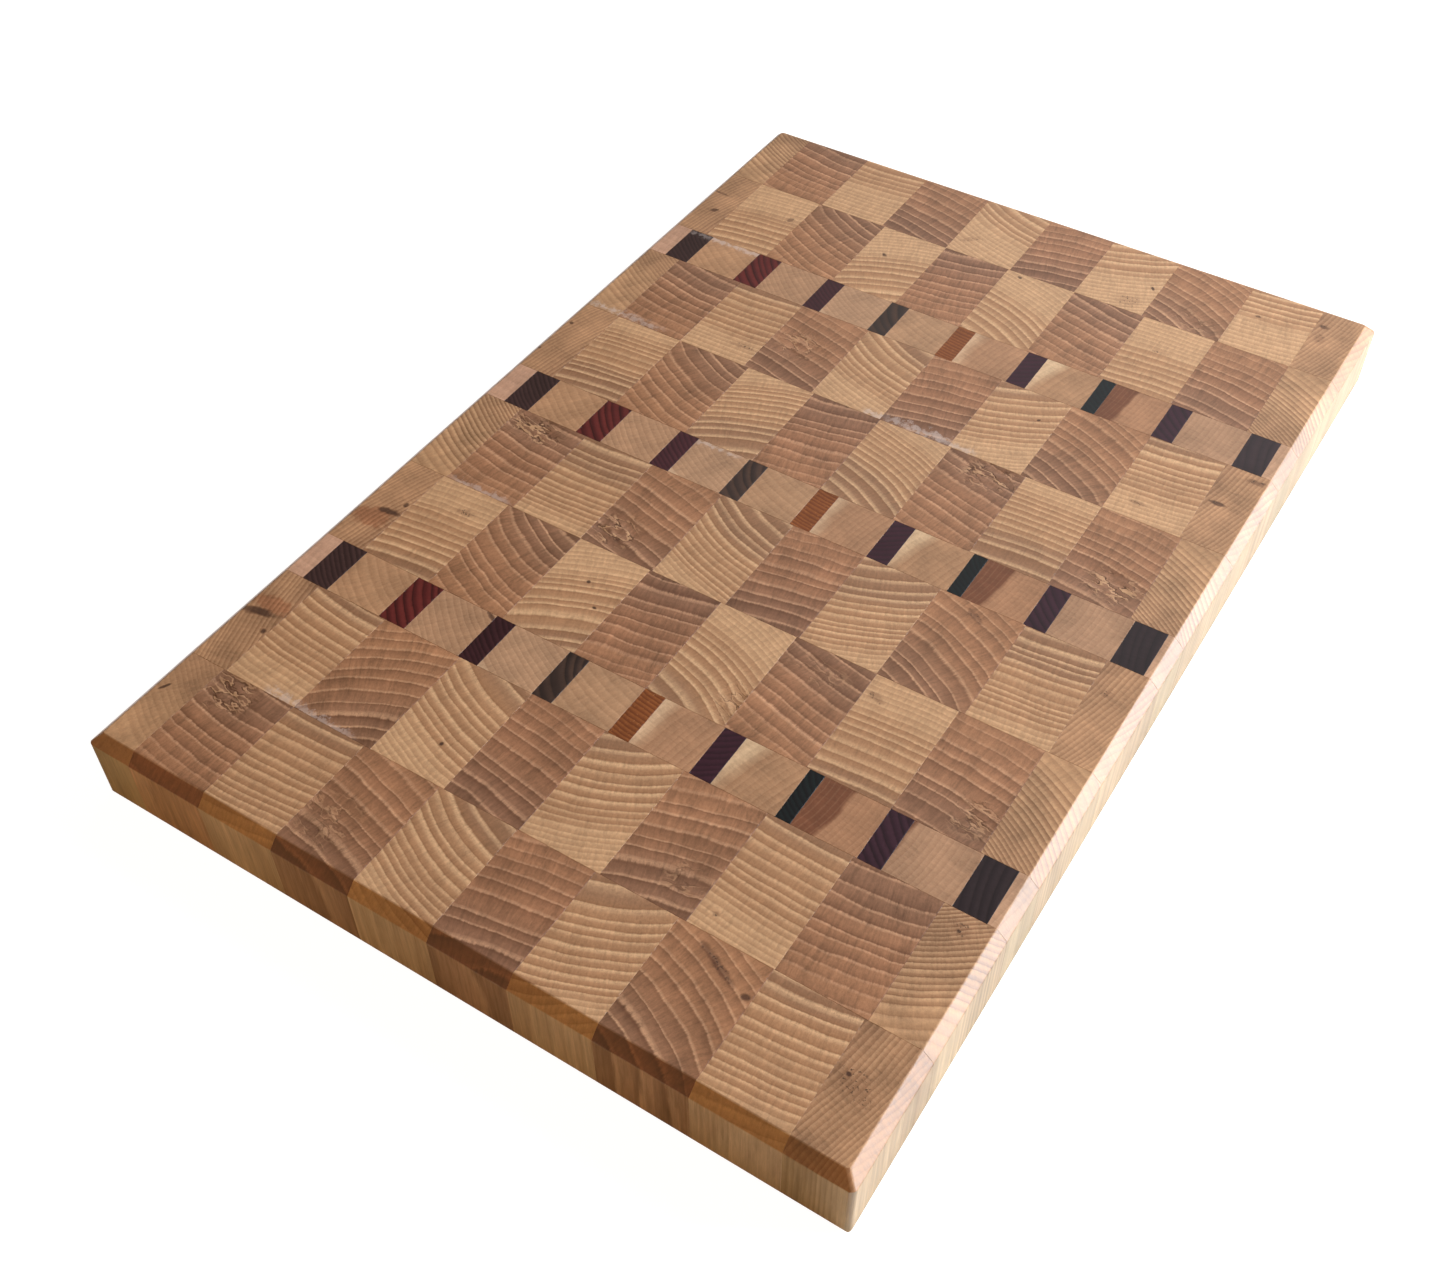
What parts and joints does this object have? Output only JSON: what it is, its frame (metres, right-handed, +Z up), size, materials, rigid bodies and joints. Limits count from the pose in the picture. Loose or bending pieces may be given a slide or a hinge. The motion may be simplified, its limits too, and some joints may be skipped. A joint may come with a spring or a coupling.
{
  "type": "end-grain cutting board",
  "caption": "Rectangular end-grain cutting board: a checkerboard of light and dark hardwood blocks crossed by thin bands of dark inlays, with a chamfered top edge.",
  "frame": {"origin": "middle of the flat underside", "axes": "+X across the board, +Y along its length away from the front edge, +Z up out of the cutting surface"},
  "size_m": [0.237, 0.3606, 0.0254],
  "materials": {
    "light_hardwood": "satin oiled end grain, golden tan with brown growth rings",
    "dark_hardwood": "satin oiled end grain, mid brown with pale growth rings",
    "edge_hardwood": "satin oiled end grain, tan brown with fine slanted rings and small dark knots",
    "maple_spacer": "satin oiled maple, fine even grain",
    "black_inlay": "satin oiled near-black wood",
    "red_inlay": "satin oiled deep red wood with dark streaks",
    "plum_inlay": "satin oiled very dark purple wood",
    "charcoal_inlay": "satin oiled black-brown wood with fine brown lines",
    "orange_inlay": "satin oiled orange-brown wood with short dark pores",
    "purple_inlay": "satin oiled dark purple wood",
    "teal_inlay": "satin oiled green-black wood",
    "violet_inlay": "satin oiled dark violet wood",
    "jet_inlay": "satin oiled near-black wood, the widest inlay"
  },
  "bodies": {
    "root": {"row_1_slice": "light_hardwood", "row_2_slice": "light_hardwood", "row_3_slice": "light_hardwood", "row_4_slice": "light_hardwood", "row_5_slice": "light_hardwood", "row_6_slice": "light_hardwood", "row_7_slice": "light_hardwood", "row_8_slice": "light_hardwood", "band_1_inlay_1_black": "black_inlay", "band_1_inlay_2_red": "red_inlay", "band_1_inlay_3_plum": "plum_inlay", "band_1_inlay_4_charcoal": "charcoal_inlay", "band_1_inlay_5_orange": "orange_inlay", "band_1_inlay_6_purple": "purple_inlay", "band_1_inlay_7_teal": "teal_inlay", "band_1_inlay_8_violet": "violet_inlay", "band_1_inlay_9_jet": "jet_inlay", "band_1_spacer_1": "maple_spacer", "band_1_spacer_2": "maple_spacer", "band_1_spacer_3": "maple_spacer", "band_1_spacer_4": "maple_spacer", "band_1_spacer_5": "maple_spacer", "band_1_spacer_6": "maple_spacer", "band_1_spacer_7": "maple_spacer", "band_1_spacer_8": "maple_spacer", "band_2_inlay_1_black": "black_inlay", "band_2_inlay_2_red": "red_inlay", "band_2_inlay_3_plum": "plum_inlay", "band_2_inlay_4_charcoal": "charcoal_inlay", "band_2_inlay_5_orange": "orange_inlay", "band_2_inlay_6_purple": "purple_inlay", "band_2_inlay_7_teal": "teal_inlay", "band_2_inlay_8_violet": "violet_inlay", "band_2_inlay_9_jet": "jet_inlay", "band_2_spacer_1": "maple_spacer", "band_2_spacer_2": "maple_spacer", "band_2_spacer_3": "maple_spacer", "band_2_spacer_4": "maple_spacer", "band_2_spacer_5": "maple_spacer", "band_2_spacer_6": "maple_spacer", "band_2_spacer_7": "maple_spacer", "band_2_spacer_8": "maple_spacer", "band_3_inlay_1_black": "black_inlay", "band_3_inlay_2_red": "red_inlay", "band_3_inlay_3_plum": "plum_inlay", "band_3_inlay_4_charcoal": "charcoal_inlay", "band_3_inlay_5_orange": "orange_inlay", "band_3_inlay_6_purple": "purple_inlay", "band_3_inlay_7_teal": "teal_inlay", "band_3_inlay_8_violet": "violet_inlay", "band_3_inlay_9_jet": "jet_inlay", "band_3_spacer_1": "maple_spacer", "band_3_spacer_2": "maple_spacer", "band_3_spacer_3": "maple_spacer", "band_3_spacer_4": "maple_spacer", "band_3_spacer_5": "maple_spacer", "band_3_spacer_6": "maple_spacer", "band_3_spacer_7": "maple_spacer", "band_3_spacer_8": "maple_spacer"}
  },
  "joints": []
}
